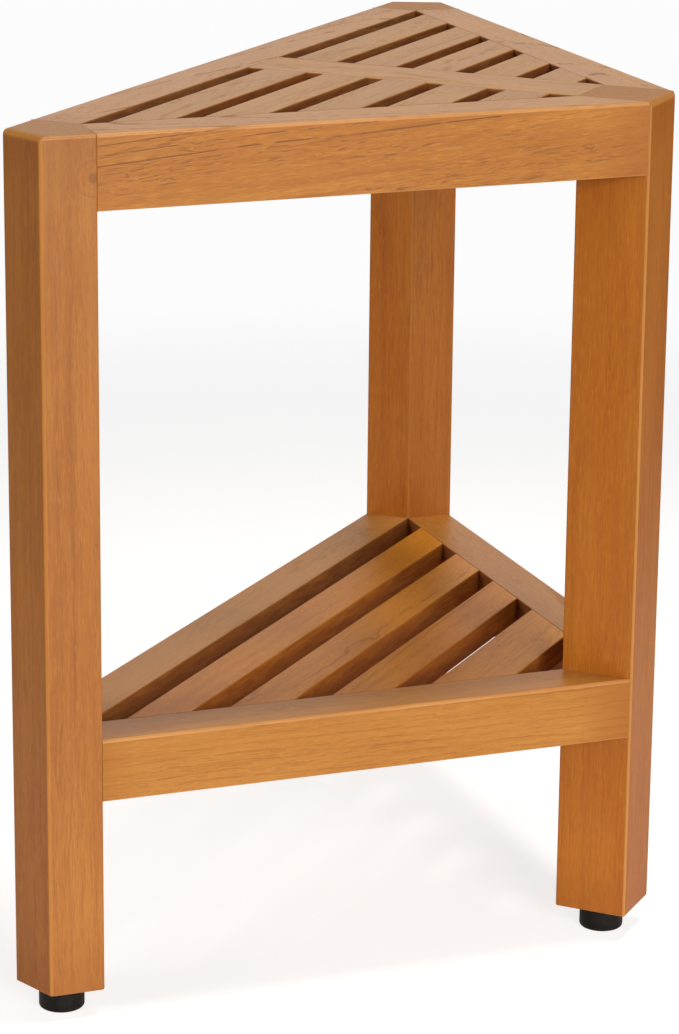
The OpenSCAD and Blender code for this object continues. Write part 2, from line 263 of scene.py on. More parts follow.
    # pores: broken rows along some rings, crowds of short dashes, fine ticks and pale flecks everywhere
    broken = spread(tree, stretched(tree, block, 55, 190, 2, 0.6), 0.45, 0.52)
    row = times(tree, spread(tree, step, 0.75, 0.82), spread(tree, step, 0.87, 0.96, 1.0, 0.0))
    row = times(tree, times(tree, row, spread(tree, lucky_year, 0.45, 0.5)), broken)
    dash = spread(tree, stretched(tree, block, 65, 1250, 1), 0.58, 0.63)
    loose = times(tree, dash, scaled(tree, crowd, 0.92, 0.08))
    tick = spread(tree, stretched(tree, block, 190, 1900, 1), 0.54, 0.66)
    fleck = spread(tree, stretched(tree, block, 110, 1100, 1), 0.55, 0.68)
    pore = calc(tree, "MAXIMUM", times(tree, row, given["Line Strength"]),
                times(tree, loose, given["Pore Amount"]), clamp=True)

    # each of these darkens or lightens the one before it
    lift = calc(tree, "ADD", spread(tree, broad, 0.35, 0.65), scaled(tree, luck[1], 0.4, -0.2), clamp=True)
    ring_tone = times(tree, times(tree, late, strong_year), given["Ring Strength"])
    colour = tint(tree, lift, given["Middle"], given["Light"])
    for mark, tone in (
            (ring_tone, "Dark"), (spread(tree, streak, 0.45, 0.75, 0.0, 0.45), "Dark"),
            (spread(tree, thread, 0.45, 0.75, 0.0, 0.40), "Dark"),
            (spread(tree, fibre, 0.35, 0.7, 0.0, 0.25), "Dark"), (times(tree, tick, 0.30), "Dark"),
            (times(tree, fleck, 0.45), "Light"), (times(tree, pore, 0.68), "Pore"),
            (times(tree, heartwood, 0.45), "Pore")):
        colour = tint(tree, mark, colour, given[tone])

    # near the ends of a board the oil soaks in deeper, and painted shade darkens them where they meet the
    # legs
    parts = parts_of(tree, given["Grain"])
    from_end = calc(tree, "SUBTRACT", given["Reach"], calc(tree, "ABSOLUTE", parts["X"]))
    from_end = plus(tree, from_end, scaled(tree, thread, 0.02, -0.01))
    soaked_and_shaded = times(tree, spread(tree, from_end, 0.0, 0.035, 1.0, 0.0), given["Soak"])

    # end grain and upper faces are tinted a drier tan, partly from weathering and partly as a painted
    # sheen and shade on the tops; sawn sides take up oil and turn dark and blotchy, partly as painted
    # shade in slots
    dry = calc(tree, "MAXIMUM", times(tree, end_cut, 0.6), times(tree, facing_up, given["Wear"]))
    dots = spread(tree, stretched(tree, still, 900, 900, 1), 0.54, 0.62)
    end_marks = times(tree, scaled(tree, late, 0.4, times(tree, dots, 0.35)), end_cut)
    blotch = spread(tree, stretched(tree, still, 45, 420, 3, 0.6), 0.35, 0.65, 0.68, 0.93)
    blotched_and_shaded = times(tree, sawn_and_shaded_side, blotch)

    # rounded edges are lightened, partly by rubbing and partly as a painted highlight, less so on top and
    # beside sawn sides; hairline joints are dark
    rubbed = calc(tree, "MAXIMUM", given["Edge"], 0.0)
    rubbed = times(tree, rubbed, spread(tree, streak, 0.3, 0.7, 0.8, 0.4))
    rubbed = times(tree, rubbed, scaled(tree, facing_up, -0.7, 1.0))
    rubbed = times(tree, rubbed, calc(tree, "SUBTRACT", 1.0, sawn_and_shaded_side))
    seam = times(tree, calc(tree, "MAXIMUM", times(tree, given["Edge"], -1.0), 0.0), 0.4)
    for mark, tone in ((soaked_and_shaded, "Dark"), (dry, "Dry"), (end_marks, "Dark"), (blotched_and_shaded, "Pore"),
                       (rubbed, "Worn"), (seam, "Pore")):
        colour = tint(tree, mark, colour, given[tone])

    # pores, end grain and sawn sides are rougher, and pores are sunk below the fibre
    rough = plus(tree, scaled(tree, fibre, 0.10, -0.05), times(tree, pore, 0.2))
    rough = plus(tree, rough, scaled(tree, end_cut, 0.12, times(tree, sawn_and_shaded_side, 0.35)))
    rough = plus(tree, rough, scaled(tree, broad, 0.12, -0.06))
    relief = plus(tree, times(tree, fibre, 0.12), times(tree, thread, 0.12))
    relief = plus(tree, relief, times(tree, late, 0.06))
    result = tree.nodes.new("NodeGroupOutput").inputs
    put(tree, result["Color"], colour)
    put(tree, result["Roughness"], plus(tree, rough, given["Gloss"]))
    put(tree, result["Height"], calc(tree, "SUBTRACT", relief, times(tree, pore, 0.7)))
    return tree


wood_figure = make_wood_group()


def cleared(owner):
    """The emptied node tree of a new material or world."""
    owner.use_nodes = True
    owner.node_tree.nodes.clear()
    return owner.node_tree


def wood(name, light, middle, dark, pore, relief=0.00022, shine=0.33, from_boards=True, **values):
    """A wood finish with its own colours; boards carry their grain, other pieces are read in place."""
    material = bpy.data.materials.new(name)
    tree = cleared(material)
    figure = node(tree, "ShaderNodeGroup", node_tree=wood_figure)
    for label, value in (("Light", light), ("Middle", middle), ("Dark", dark), ("Pore", pore)):
        put(tree, figure.inputs[label], (*value, 1.0))
    for label, value in values.items():
        value = (*value, 1.0) if label in ("dry", "worn") else value
        put(tree, figure.inputs[label.replace("_", " ").title()], value)
    if from_boards:
        for label, output in (("Grain", "Vector"), ("Board", "Fac"), ("Edge", "Fac"), ("Cut", "Vector"),
                              ("Reach", "Fac")):
            read = node(tree, "ShaderNodeAttribute", attribute_name=label.lower())
            put(tree, figure.inputs[label], read.outputs[output])
    else:
        put(tree, figure.inputs["Grain"], node(tree, "ShaderNodeTexCoord").outputs["Object"])
    bump = node(tree, "ShaderNodeBump", {"Height": figure.outputs["Height"], "Strength": 0.45,
                                         "Distance": relief})
    surface = node(tree, "ShaderNodeBsdfPrincipled", {
        "Base Color": figure.outputs["Color"], "Roughness": figure.outputs["Roughness"],
        "Normal": bump.outputs[0], "IOR": 1.46, "Specular IOR Level": shine})
    node(tree, "ShaderNodeOutputMaterial", {"Surface": surface.outputs[0]})
    return material


def in_row(x, y):
    """A point of the plan, measured from the middle of the long side, in the stool's own frame."""
    return (x, y - depth / 2)


def on_right_wall(run, inwards):
    """A point of the plan, measured along the right wall side from its sharp corner, and inwards."""
    return in_row(apex - (run + inwards) / sqrt(2), (run - inwards) / sqrt(2))


def mirrored(outline):
    """The same outline on the left-hand side, still counter-clockwise."""
    return [(-x, y) for x, y in reversed(outline)]


def shared(name, mesh):
    """A new piece that shows this mesh."""
    piece = bpy.data.objects.new(name, mesh)
    scene.collection.objects.link(piece)
    return piece


def made_plain(piece):
    """Turns a piece's modifiers into its mesh."""
    bpy.context.view_layer.update()
    graph = bpy.context.evaluated_depsgraph_get()
    mesh = bpy.data.meshes.new_from_object(piece.evaluated_get(graph), preserve_all_data_layers=True,
                                           depsgraph=graph)
    piece.modifiers.clear()
    piece.data = mesh
    return piece


def eased(piece):
    """Rounds the marked edges, each by its own share of the largest round-over."""
    bevel = piece.modifiers.new("round-over", "BEVEL")
    bevel.limit_method = "WEIGHT"
    bevel.offset_type = "OFFSET"
    bevel.width = largest_round
    bevel.segments = round_steps
    bevel.harden_normals = True
    return made_plain(piece)


# how squarely a face has to face its way to count as end grain, as a sawn side or as such a side's lip,
# how much of its side's roughness and painted shade the lip takes, and how wide a strip along a board's
# edge may be for a hairline joint, for a partly marked round-over and for a round-over at all
end_facing = 0.72
sawn_facing = 0.96
lip_facing = 0.25
lip_share = 0.7
hairline_strip = 0.0001
full_strip = 0.0006
widest_strip = 0.0015


def lay_grain(piece, along, number, sawn):
    """Writes on each board its own place in the tree: X runs along the grain from the board's middle, and
    its half length is its reach. Points on rounded edges are marked up to 1, and on hairline joints -1.
    Each face is marked by how far it is end grain, how far it is a sawn side for the ways given, which the
    finish makes rougher and darker as painted shade, and how far it faces up, which the finish tints
    partly as a painted sheen and shade."""
    mesh = piece.data
    across = to_post if along.z else upwards.cross(along)
    out = along.cross(across)
    rows = mesh.attributes.get("row")
    row = [round(item.value) for item in rows.data] if rows else [0] * len(mesh.vertices)
    middles, reaches = {}, {}
    for index in set(row):
        points = [vertex.co for vertex in mesh.vertices if row[vertex.index] == index]
        spans = [(min(p[k] for p in points) + max(p[k] for p in points)) / 2 for k in range(3)]
        middles[index] = Vector(spans)
        reaches[index] = max(abs((point - middles[index]).dot(along)) for point in points)
    marks = {"grain": ("FLOAT_VECTOR", "POINT"), "board": ("FLOAT", "POINT"), "reach": ("FLOAT", "POINT"),
             "edge": ("FLOAT", "POINT"), "cut": ("FLOAT_VECTOR", "CORNER")}
    for label, (kind, domain) in marks.items():
        mesh.attributes.new(label, kind, domain)
    grain, numbers, reach, edge, cut = [mesh.attributes[label].data for label in marks]
    for vertex in mesh.vertices:
        place = vertex.co - middles[row[vertex.index]]
        grain[vertex.index].vector = (place.dot(along), place.dot(across), place.dot(out))
        numbers[vertex.index].value = number + row[vertex.index]
        reach[vertex.index].value = reaches[row[vertex.index]]
    strips = {vertex.index: [] for vertex in mesh.vertices}
    for face in mesh.polygons:
        corners = [mesh.vertices[index].co for index in face.vertices]
        narrowest = min((corners[k] - corners[k - 1]).length for k in range(len(corners)))
        for index in face.vertices:
            strips[index].append(narrowest)
        end = max(0.0, abs(face.normal.dot(along)) - end_facing) / (1 - end_facing)
        # a lip is a narrow round-over, and less rough and less darkened by painted shade than the sawn
        # side beside it
        on_lip = narrowest < slot_edge
        facing = lip_facing if on_lip else sawn_facing
        side = max([share for way, share in sawn if face.normal.dot(way) > facing], default=0.0)
        for corner in face.loop_indices:
            cut[corner].vector = (end, side * lip_share if on_lip else side, max(0.0, face.normal.z))
    for index, widths in strips.items():
        strip = max(widths)
        if strip > widest_strip:
            edge[index].value = 0.0
        else:
            edge[index].value = -1.0 if strip < hairline_strip else min(strip / full_strip, 1.0)


def board(name, outline, low, high, along, corners, sides, number, sawn):
    """A planed board on its plan outline. Each corner has its own round-over, and each side has one at the
    top and one at the bottom. The board's number picks its own part of the tree."""
    shape = bmesh.new()
    bottom = [shape.verts.new((x, y, low)) for x, y in outline]
    top = [shape.verts.new((x, y, high)) for x, y in outline]
    shape.faces.new(list(reversed(bottom)))
    shape.faces.new(top)
    share = shape.edges.layers.float.new("bevel_weight_edge")
    count = len(outline)
    for k in range(count):
        after = (k + 1) % count
        shape.faces.new([bottom[k], bottom[after], top[after], top[k]])
    for k in range(count):
        after = (k + 1) % count
        for start, finish, radius in ((bottom[k], top[k], corners[k]), (top[k], top[after], sides[k][0]),
                                      (bottom[k], bottom[after], sides[k][1])):
            shape.edges.get((start, finish))[share] = radius / largest_round
    mesh = bpy.data.meshes.new(name)
    shape.to_mesh(mesh)
    shape.free()
    piece = eased(shared(name, mesh))
    lay_grain(piece, along, number, sawn)
    return piece


rail_teak = wood("oiled teak rails", (0.64, 0.265, 0.042), (0.52, 0.192, 0.025), (0.35, 0.096, 0.009),
                 (0.14, 0.038, 0.006), shine=0.5, slope=0.08, wear=0.3, soak=0.45, ring_width=0.004,
                 line_strength=1.0, pore_amount=0.68)

outer_side = (upper_round, lower_round)
inner_side = (slot_edge, slot_edge * 2)
joint_side = (hairline, hairline)
front_outline = [in_row(-front_half, 0), in_row(front_half, 0), in_row(front_half, rail_thick),
                 in_row(-front_half, rail_thick)]
right_outline = [on_right_wall(leg_reach, 0), on_right_wall(wall_run, 0),
                 on_right_wall(wall_run - rail_thick, rail_thick), on_right_wall(leg_reach, rail_thick)]
left_outline = mirrored(right_outline)
rail_plans = {
    "front": (front_outline, along_front, [hairline] * 4, [outer_side, joint_side, inner_side, joint_side],
              to_post),
    "right": (right_outline, along_right_wall, [hairline, tip_round, hairline, hairline],
              [outer_side, joint_side, inner_side, joint_side], -along_left_wall),
    "left": (left_outline, along_left_wall, [hairline, hairline, tip_round, hairline],
             [inner_side, joint_side, outer_side, joint_side], -along_right_wall),
}


def rails(level, low, high, numbers, finishes):
    """The three rails of a level, each standing for its plain one and sawn on its inner side, which the
    finish darkens as painted shade.
    """
    for number, finish, where in zip(numbers, finishes, rail_plans):
        outline, along, corners, sides, inwards = rail_plans[where]
        node_name = f"{level}_{where}_rail"
        rail = board(f"{where}_rail_of_the_{level}", outline, low, high, along, corners, sides, number,
                     [(inwards, 1.0)])
        rail.data.materials.append(finish)
        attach(rail, "stool")
        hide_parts(node_name)


rails("seat", seat_top - seat_rail_height, seat_top, (11, 12, 13), [rail_teak] * 3)

# Legs: two five-sided teak legs with a chopped end face, and a four-sided post in the right-angled corner.
# Each is one length of teak; the right leg has a small knot beside its joint with the seat rail.
leg_low = 0.014
upright_round = 0.0015
end_round = largest_round
foot_round = 0.001
inner_round = 0.0007
# the legs' chopped end faces take part of the sawn sides' dark blotches, as painted shade on those faces
chopped_end_shade_share = 0.36
knot_place = (0.2002, 0.0219, -0.0012)
knot_reach = 0.010
leg_teak = wood("oiled teak legs", (0.54, 0.185, 0.018), (0.46, 0.136, 0.009), (0.32, 0.078, 0.004),
                (0.14, 0.030, 0.003), shine=0.4, worn=(0.64, 0.29, 0.07), ring_strength=0.18,
                line_strength=0.25, pore_amount=0.3, sway=0.35)
knot_teak = wood("oiled teak leg with a knot", (0.53, 0.203, 0.028), (0.45, 0.150, 0.014),
                 (0.30, 0.080, 0.006), (0.15, 0.038, 0.005), shine=0.6, worn=(0.56, 0.220, 0.034),
                 ring_strength=0.18, line_strength=0.25, pore_amount=0.3, sway=0.35,
                 knot=knot_place, knot_reach=knot_reach)
leg_outline = [on_right_wall(leg_trim, 0), on_right_wall(leg_reach, 0), in_row(front_half, rail_thick),
               in_row(front_half, 0), in_row(apex - leg_trim, 0)]
leg_corners = [upright_round, inner_round, inner_round, inner_round, upright_round]
outer_leg_side = (upper_round, foot_round)
chopped_side = (end_round, foot_round)
inner_leg_side = (hairline, foot_round)
leg_sides = [outer_leg_side, inner_leg_side, inner_leg_side, outer_leg_side, chopped_side]
post_outline = [in_row(-post_width / 2, post_inner), in_row(post_width / 2, post_inner),
                in_row(post_width / 2, depth), in_row(-post_width / 2, depth)]
post_corners = [inner_round, inner_round, upright_round, upright_round]
post_sides = [inner_leg_side, inner_leg_side, chopped_side, inner_leg_side]
right_end = Vector((cos(half_corner), -sin(half_corner), 0))
left_end = Vector((-cos(half_corner), -sin(half_corner), 0))
for name, outline, corners, sides, number, finish in (
        ("leg_right", leg_outline, leg_corners, leg_sides, 21, knot_teak),
        ("leg_left", mirrored(leg_outline), leg_corners, leg_sides, 22, leg_teak),
        ("corner_post", post_outline, post_corners, post_sides, 23, leg_teak)):
    leg = board(f"{name}_of_teak", outline, leg_low, seat_top, upwards, corners, sides, number,
                [(right_end, chopped_end_shade_share), (left_end, chopped_end_shade_share)])
    leg.data.materials.append(finish)
    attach(leg, "stool")
    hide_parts(name)

# Cross rail: a flat teak board from the long rail to the post, flush with the seat.
# It holds the inner ends of the seat slats in mortises in both its sides.
cross_width = 0.038
cross_thick = 0.020
slat_teak = wood("oiled teak slats", (0.58, 0.230, 0.032), (0.475, 0.162, 0.015), (0.31, 0.084, 0.006),
                 (0.14, 0.032, 0.004), dry=(0.49, 0.258, 0.060), shine=0.36, ring_strength=0.3,
                 line_strength=0.5, pore_amount=0.65)
cross_half = cross_width / 2
cross_outline = [in_row(-cross_half, rail_thick), in_row(cross_half, rail_thick),
                 in_row(cross_half, inner_sum - cross_half), in_row(post_width / 2, post_inner),
                 in_row(-post_width / 2, post_inner), in_row(-cross_half, inner_sum - cross_half)]
cross_side = (slot_edge, slot_edge)
# the cross rail's sides count as sawn, so the finish darkens them in the slots as painted shade
cross_rail = board("cross_rail_of_the_seat", cross_outline, seat_top - cross_thick, seat_top, to_post,
                   [hairline] * 6,
                   [joint_side, cross_side, joint_side, joint_side, joint_side, cross_side], 33,
                   [(along_front, 1.0), (-along_front, 1.0)])
cross_rail.data.materials.append(slat_teak)
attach(cross_rail, "stool")
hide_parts("seat_cross_rail")

# Seat slats: five rows of thin teak slats in two halves, with even slots between them.
# Their outer ends are cut at 45 degrees against the wall rails, and all lie flush with the rails.
seat_slat_width = 0.0245
seat_slat_thick = 0.012
seat_tip_gap = 0.015
seat_rows = 5
seat_gap = (post_inner - rail_thick - seat_rows * seat_slat_width - seat_tip_gap) / seat_rows


def noted(tree, geometry, name, value, domain):
    """The geometry with a value kept on it under this name."""
    kept = node(tree, "GeometryNodeStoreNamedAttribute", {"Geometry": geometry, "Name": name},
                data_type="FLOAT", domain=domain)
    put(tree, kept.inputs["Value"], value)
    return kept.outputs[0]


def finished(tree, geometry, finish, output):
    """Gives the geometry its finish and hands it out of the tree."""
    real = node(tree, "GeometryNodeRealizeInstances", {"Geometry": geometry})
    done = node(tree, "GeometryNodeSetMaterial", {"Geometry": real.outputs[0], "Material": finish})
    put(tree, tree.nodes.new("NodeGroupOutput").inputs[output], done.outputs[0])


def make_slat_tree():
    """Rows of slats, each as long as the wall rails leave it at its own place."""
    tree = bpy.data.node_groups.new("rows of slats", "GeometryNodeTree")
    for name, kind in (("Rows", "Int"), ("First Edge", "Float"), ("Pitch", "Float"), ("Width", "Float"),
                       ("Last Width", "Float"), ("Thickness", "Float"), ("Top", "Float"),
                       ("Inner Sum", "Float"), ("Inner End", "Float"), ("Halved", "Bool"),
                       ("Side Round", "Float"), ("End Round", "Float"), ("Finish", "Material")):
        tree.interface.new_socket(name, in_out="INPUT", socket_type=f"NodeSocket{kind}")
    tree.interface.new_socket("Slats", in_out="OUTPUT", socket_type="NodeSocketGeometry")
    given = tree.nodes.new("NodeGroupInput").outputs

    # one blank slat, its long edges and its end edges marked with their round-overs
    blank = node(tree, "GeometryNodeMeshCube", {"Size": (1, 1, 1)}).outputs["Mesh"]
    ends = node(tree, "GeometryNodeInputMeshEdgeVertices").outputs
    run = parts_of(tree, vector(tree, "SUBTRACT", ends["Position 1"], ends["Position 2"]))
    lengthwise = calc(tree, "GREATER_THAN", calc(tree, "ABSOLUTE", run["X"]), 0.5)
    rounding = between(tree, lengthwise, given["End Round"], given["Side Round"])
    marked = noted(tree, blank, "bevel_weight_edge", rounding, "EDGE")
    corner = node(tree, "GeometryNodeTransform", {"Geometry": marked, "Translation": (0.5, 0.5, -0.5)})

    # a slat in each row, numbered by it
    row_line = node(tree, "GeometryNodeMeshLine", {
        "Count": given["Rows"], "Start Location": made_of(tree, Y=given["First Edge"], Z=given["Top"]),
        "Offset": made_of(tree, Y=given["Pitch"])})
    index = node(tree, "GeometryNodeInputIndex").outputs[0]
    last = calc(tree, "GREATER_THAN", index, calc(tree, "SUBTRACT", given["Rows"], 1.5))
    width = between(tree, last, given["Width"], given["Last Width"])
    placed = node(tree, "GeometryNodeInstanceOnPoints", {
        "Points": row_line.outputs[0], "Instance": corner.outputs[0],
        "Scale": made_of(tree, X=1.0, Y=width, Z=given["Thickness"])})
    numbered = noted(tree, placed.outputs[0], "row", index, "INSTANCE")
    solid = node(tree, "GeometryNodeRealizeInstances", {"Geometry": numbered}).outputs[0]

    # each end is drawn out to the wall rail, or the inner one to the cross rail
    place = parts_of(tree, node(tree, "GeometryNodeInputPosition").outputs[0])
    outer_end = calc(tree, "SUBTRACT", given["Inner Sum"], place["Y"])
    inner_end = node(tree, "GeometryNodeSwitch", {
        "Switch": given["Halved"], "False": times(tree, outer_end, -1.0), "True": given["Inner End"]},
        input_type="FLOAT").outputs[0]
    reach = times(tree, calc(tree, "SUBTRACT", outer_end, inner_end), place["X"])
    here = made_of(tree, X=plus(tree, inner_end, reach), Y=place["Y"], Z=place["Z"])
    cut = node(tree, "GeometryNodeSetPosition", {"Geometry": solid, "Position": here})

    # the left-hand half is the right-hand one mirrored, with row numbers of its own
    other = node(tree, "GeometryNodeTransform", {"Geometry": cut.outputs[0], "Scale": (-1, 1, 1)})
    turned = node(tree, "GeometryNodeFlipFaces", {"Mesh": other.outputs[0]})
    own_row = node(tree, "GeometryNodeInputNamedAttribute", {"Name": "row"}, data_type="FLOAT")
    next_row = plus(tree, own_row.outputs["Attribute"], given["Rows"])
    renumbered = noted(tree, turned.outputs[0], "row", next_row, "POINT")
    both = node(tree, "GeometryNodeJoinGeometry")
    tree.links.new(cut.outputs[0], both.inputs[0])
    tree.links.new(renumbered, both.inputs[0])
    choice = node(tree, "GeometryNodeSwitch", {"Switch": given["Halved"], "False": cut.outputs[0],
                                               "True": both.outputs[0]}, input_type="GEOMETRY")
    finished(tree, choice.outputs[0], given["Finish"], "Slats")
    return tree


def from_tree(name, tree, sizes):
    """A new piece with a node tree's modifier, its inputs given by their sockets' identifiers."""
    piece = shared(name, bpy.data.meshes.new(name))
    modifier = piece.modifiers.new(tree.name, "NODES")
    modifier.node_group = tree
    for item in tree.interface.items_tree:
        if item.in_out == "INPUT":
            modifier[item.identifier] = sizes[item.name]
    return piece


slat_tree = make_slat_tree()
# both long sides of each slat count as sawn, so the finish darkens them in the slots as painted shade
slat_sides_sawn_and_shaded = [(to_post, 1.0), (-to_post, 1.0)]
seat_slats = from_tree("slats_of_the_seat", slat_tree, {
    "Rows": seat_rows, "First Edge": in_row(0, rail_thick + seat_gap)[1],
    "Pitch": seat_slat_width + seat_gap, "Width": seat_slat_width, "Last Width": seat_slat_width,
    "Thickness": seat_slat_thick, "Top": seat_top, "Inner Sum": inner_sum - depth / 2,
    "Inner End": cross_half, "Halved": True, "Side Round": slot_edge / largest_round,
    "End Round": hairline / largest_round, "Finish": slat_teak})
eased(seat_slats)
lay_grain(seat_slats, along_front, 41, slat_sides_sawn_and_shaded)
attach(seat_slats, "stool")
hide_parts(*[f"seat_slat_{row}_{side}" for side in ("left", "right")
                          for row in range(1, seat_rows + 1)])

# Shelf rails: three lower teak rails between the legs, lighter than the seat rails, the long one palest.
# They are dowelled in the same way and carry the ends of the shelf slats.
shelf_top = 0.1495
shelf_rail_height = 0.033
shelf_rail_teak = wood("oiled teak shelf rails", (0.58, 0.250, 0.044), (0.50, 0.195, 0.028),
                       (0.38, 0.112, 0.010), (0.18, 0.043, 0.005), shine=0.4, wear=0.1, soak=0.6,
                       ring_strength=0.25, line_strength=0.4, pore_amount=0.4)
pale_rail_teak = wood("oiled teak long shelf rail", (0.62, 0.275, 0.052), (0.545, 0.220, 0.036),
                      (0.41, 0.132, 0.013), (0.18, 0.043, 0.005), dry=(0.84, 0.40, 0.12), shine=0.25,
                      wear=0.35, soak=0.6, ring_strength=0.25, line_strength=0.4, pore_amount=0.4)
rails("shelf", shelf_top - shelf_rail_height, shelf_top, (51, 52, 53),
      [pale_rail_teak, shelf_rail_teak, shelf_rail_teak])

# Shelf slats: three narrow teak slats and a wide one by the post, each in one length.
# Both ends are cut at 45 degrees against the shelf's wall rails.
shelf_slat_width = 0.0248
shelf_wide_width = 0.034
shelf_slat_thick = 0.0135
shelf_tip_gap = 0.0187
shelf_rows = 4
# the shelf slats' colours are lightened as painted light, in place of light that the seat keeps off them
shelf_slat_teak_painted_light = wood("oiled teak shelf slats, lightened as painted light", (0.86, 0.345, 0.034), (0.76, 0.268, 0.017),
                       (0.54, 0.151, 0.008), (0.24, 0.056, 0.005), shine=0.25, wear=0.08,
                       ring_strength=0.3, line_strength=0.5, pore_amount=0.35)
shelf_slats_together = (shelf_rows - 1) * shelf_slat_width + shelf_wide_width
shelf_gap = (post_inner - rail_thick - shelf_slats_together - shelf_tip_gap) / shelf_rows
shelf_slats = from_tree("slats_of_the_shelf", slat_tree, {
    "Rows": shelf_rows, "First Edge": in_row(0, rail_thick + shelf_gap)[1],
    "Pitch": shelf_slat_width + shelf_gap, "Width": shelf_slat_width, "Last Width": shelf_wide_width,
    "Thickness": shelf_slat_thick, "Top": shelf_top, "Inner Sum": inner_sum - depth / 2,
    "Inner End": 0.0, "Halved": False, "Side Round": slot_edge / largest_round,
    "End Round": hairline / largest_round, "Finish": shelf_slat_teak_painted_light})
eased(shelf_slats)
lay_grain(shelf_slats, along_front, 61, slat_sides_sawn_and_shaded)
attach(shelf_slats, "stool")
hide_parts(*[f"shelf_slat_{row}" for row in range(1, shelf_rows + 1)])

# Dowels: plain turned beech pegs, glued into the rails and legs.
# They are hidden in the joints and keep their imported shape.
beech = wood("turned beech", (0.74, 0.56, 0.38), (0.64, 0.46, 0.29), (0.52, 0.34, 0.20),
             (0.40, 0.25, 0.14), dry=(0.70, 0.53, 0.36), relief=0.00008, from_boards=False,
             ring_width=0.0025, ring_strength=0.25, pore_amount=0.5, gloss=0.5)


def refinish(name, finish):
    """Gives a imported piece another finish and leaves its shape."""
    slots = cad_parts[name].data.materials
    slots.clear()
    slots.append(finish)


refinish("seat_dowels", beech)
refinish("shelf_dowels", beech)

# Threaded inserts: turned brass sleeves driven into the end grain under each leg.
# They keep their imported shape; only their lower rims show when a foot is screwed out.


def make_turned_group():
    """Fine rings left by the lathe, and a light film of dust and handling marks."""
    tree = bpy.data.node_groups.new("turned metal", "ShaderNodeTree")
    for name, kind, value in (("Bright", "Color", (1, 1, 1, 1)), ("Dull", "Color", (1, 1, 1, 1)),
                              ("Polish", "Float", 0.3)):
        socket = tree.interface.new_socket(name, in_out="INPUT", socket_type=f"NodeSocket{kind}")
        socket.default_value = value
    for name, kind in (("Color", "Color"), ("Roughness", "Float"), ("Height", "Float")):
        tree.interface.new_socket(name, in_out="OUTPUT", socket_type=f"NodeSocket{kind}")
    given = tree.nodes.new("NodeGroupInput").outputs
    place = node(tree, "ShaderNodeTexCoord").outputs["Object"]
    lathe_marks = noise(tree, vector(tree, "MULTIPLY", place, (60, 60, 9000)), 1.0, 2.0)
    film = noise(tree, place, 420.0, 4.0)
    result = tree.nodes.new("NodeGroupOutput").inputs
    put(tree, result["Color"], tint(tree, spread(tree, film, 0.4, 0.75), given["Bright"], given["Dull"]))
    put(tree, result["Roughness"], plus(tree, given["Polish"], times(tree, film, 0.2)))
    put(tree, result["Height"], lathe_marks)
    return tree


turned_metal = make_turned_group()


def metal(name, bright, dull, polish):
    """A turned metal finish."""
    material = bpy.data.materials.new(name)
    tree = cleared(material)
    worked = node(tree, "ShaderNodeGroup", {"Bright": (*bright, 1.0), "Dull": (*dull, 1.0),
                                            "Polish": polish}, node_tree=turned_metal)
    bump = node(tree, "ShaderNodeBump", {"Height": worked.outputs["Height"], "Strength": 0.3,
                                         "Distance": 0.00003})
    surface = node(tree, "ShaderNodeBsdfPrincipled", {
        "Base Color": worked.outputs["Color"], "Roughness": worked.outputs["Roughness"],
        "Normal": bump.outputs[0], "Metallic": 1.0})
    node(tree, "ShaderNodeOutputMaterial", {"Surface": surface.outputs[0]})
    return material


refinish("foot_inserts", metal("turned brass", (0.78, 0.58, 0.26), (0.52, 0.37, 0.15), 0.22))

# Foot studs: zinc-plated steel studs with a coarse screw thread, one under each leg.
# Each is held in its pad and screws up into the brass insert, which sets the height.
stud_width = 0.008
stud_sides = 32
thread_pitch = 0.00125
thread_depth = 0.00068
thread_chamfer = 0.0009
rings_a_turn = 8
weld_reach = 0.000001
zinc = metal("zinc-plated steel", (0.66, 0.66, 0.65), (0.44, 0.44, 0.45), 0.28)


